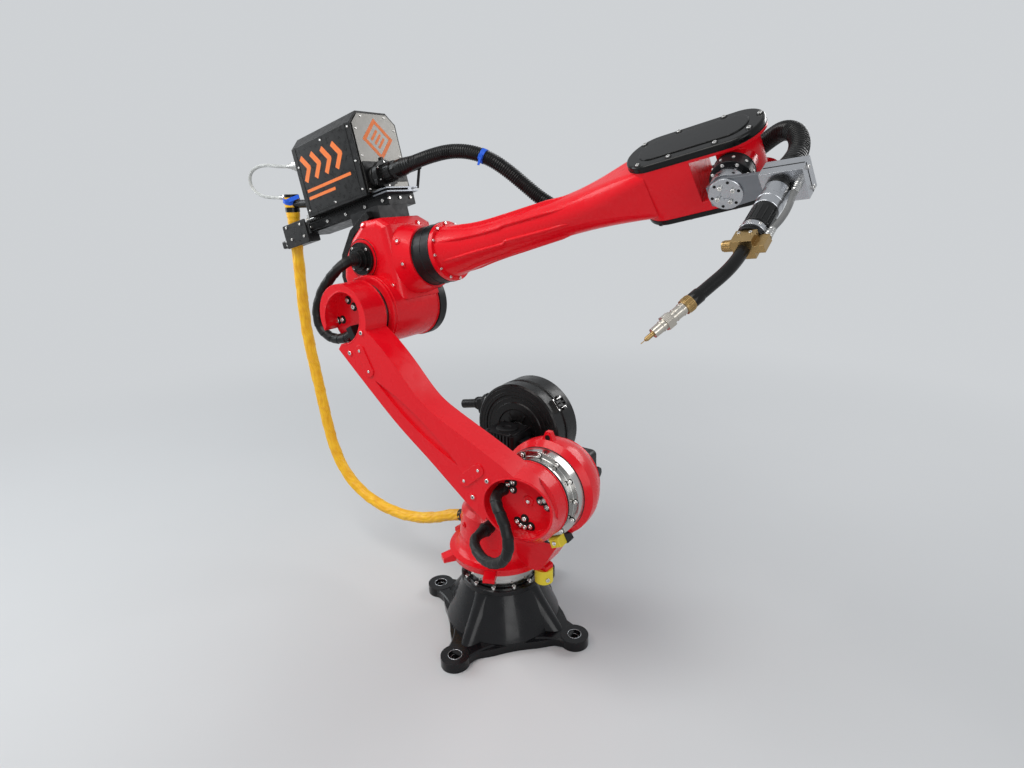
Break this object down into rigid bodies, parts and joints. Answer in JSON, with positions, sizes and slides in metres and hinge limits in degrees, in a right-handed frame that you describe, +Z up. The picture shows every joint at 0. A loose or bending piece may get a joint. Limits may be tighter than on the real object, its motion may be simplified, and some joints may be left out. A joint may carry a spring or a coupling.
{
  "type": "industrial robot arm",
  "caption": "Six-axis articulated welding robot on a cast base, with wire feeder, wire drum, hoses and a swan-neck torch.",
  "frame": {"origin": "on the first axis, at the underside of the base's feet", "axes": "+Z up along the first axis, +X the way the arm reaches in the stored pose, +Y to the back of the picture"},
  "size_m": [1.8314, 0.7587, 1.5256],
  "materials": {
    "black_paint": "gloss black paint on cast iron",
    "bright_steel": "turned steel",
    "red_paint": "gloss red paint on castings",
    "yellow_rubber": "matt yellow stop",
    "motor_black": "satin black",
    "drum_plastic": "satin black moulding",
    "feeder_paint": "satin black sheet",
    "cover_plastic": "black moulded cover",
    "alloy": "machined",
    "torch_rubber": "black",
    "nozzle_nickel": "nickel-plated, heat-stained",
    "yellow_sleeve": "woven protective sleeve",
    "hose_black": "smooth black hose",
    "stainless": "brushed stainless sheet",
    "conduit_black": "ribbed black conduit",
    "braid_grey": "braided hose",
    "brass": "turned brass",
    "tube_grey": "grey tube"
  },
  "bodies": {
    "base": {"base_casting": "black_paint", "base_flange": "black_paint", "connector_box": "black_paint", "j1_bearing_ring": "bright_steel"},
    "turret": {"turret_casting": "red_paint", "stop_block": "yellow_rubber", "j1_motor": "motor_black", "j2_motor": "motor_black", "j2_bearing_ring": "bright_steel", "drum_bracket": "motor_black", "wire_drum": "drum_plastic", "drum_latches": "bright_steel", "limit_plate": "black_paint", "limit_block": "yellow_rubber", "cable_inlet": "motor_black", "harness_inlet": "motor_black", "yellow_cable_lower": "yellow_sleeve", "harness_lower": "hose_black"},
    "lower_arm": {"lower_arm_casting": "red_paint", "cup_plug": "motor_black", "yellow_cable_upper": "yellow_sleeve"},
    "elbow": {"j3_bearing_ring": "bright_steel", "elbow_housing": "red_paint", "elbow_gland": "torch_rubber", "j3_motor_cap": "motor_black", "j4_bearing_ring": "motor_black", "feeder_box": "feeder_paint", "feeder_front_panel": "stainless", "feeder_outlet": "torch_rubber", "feeder_rail": "motor_black", "rail_plates": "bright_steel", "feeder_saddle": "motor_black", "rear_clamp": "stainless", "cable_socket": "torch_rubber", "rear_connector": "bright_steel", "harness_upper": "hose_black", "conduit_rear": "conduit_black", "hose_loop": "braid_grey"},
    "forearm": {"forearm_casting": "red_paint", "wrist_cover_top": "cover_plastic", "wrist_cover_bottom": "cover_plastic", "conduit_forearm": "conduit_black", "wrist_hose_inner": "conduit_black"},
    "wrist": {"wrist_housing": "red_paint", "j6_bearing_ring": "motor_black"},
    "tool": {"tool_flange": "alloy", "torch_bracket": "alloy", "torch_clamp": "alloy", "torch_body": "torch_rubber", "brass_block": "brass", "torch_neck": "torch_rubber", "nozzle_collar": "brass", "gas_nozzle": "nozzle_nickel", "contact_tip": "brass", "torch_tube": "tube_grey", "wrist_hose_outer": "conduit_black"}
  },
  "joints": [
    {"name": "j1_turn", "type": "hinge", "parent": "base", "child": "turret", "pos_m": [0, 0, 0.242], "axis": [0, 0, 1], "range_deg": [-208, 122]},
    {"name": "j2_shoulder", "type": "hinge", "parent": "turret", "child": "lower_arm", "pos_m": [0.21, -0.14, 0.534], "axis": [0, 1, 0], "range_deg": [-10, 120], "deforming": ["yellow_cable_lower", "harness_lower"]},
    {"name": "j3_elbow", "type": "hinge", "parent": "lower_arm", "child": "elbow", "pos_m": [-0.34486, -0.15, 0.97377], "axis": [0, -1, 0], "range_deg": [-36, 110], "deforming": ["yellow_cable_upper", "yellow_cable_lower", "harness_upper"]},
    {"name": "j4_roll", "type": "hinge", "parent": "elbow", "child": "forearm", "pos_m": [-0.37092, 0, 1.08578], "axis": [0.974, 0, 0.2267], "range_deg": [-150, 150], "deforming": ["conduit_rear"]},
    {"name": "j5_bend", "type": "hinge", "parent": "forearm", "child": "wrist", "pos_m": [0.63549, -0.02067, 1.35394], "axis": [-0.1922, -0.5299, 0.826], "range_deg": [-20, 190], "deforming": ["wrist_hose_inner", "wrist_hose_outer"]},
    {"name": "j6_tool", "type": "hinge", "parent": "wrist", "child": "tool", "pos_m": [0.63549, -0.02067, 1.35394], "axis": [-0.069, 0.8469, 0.5273], "range_deg": [-120, 120], "deforming": ["wrist_hose_outer"]}
  ]
}
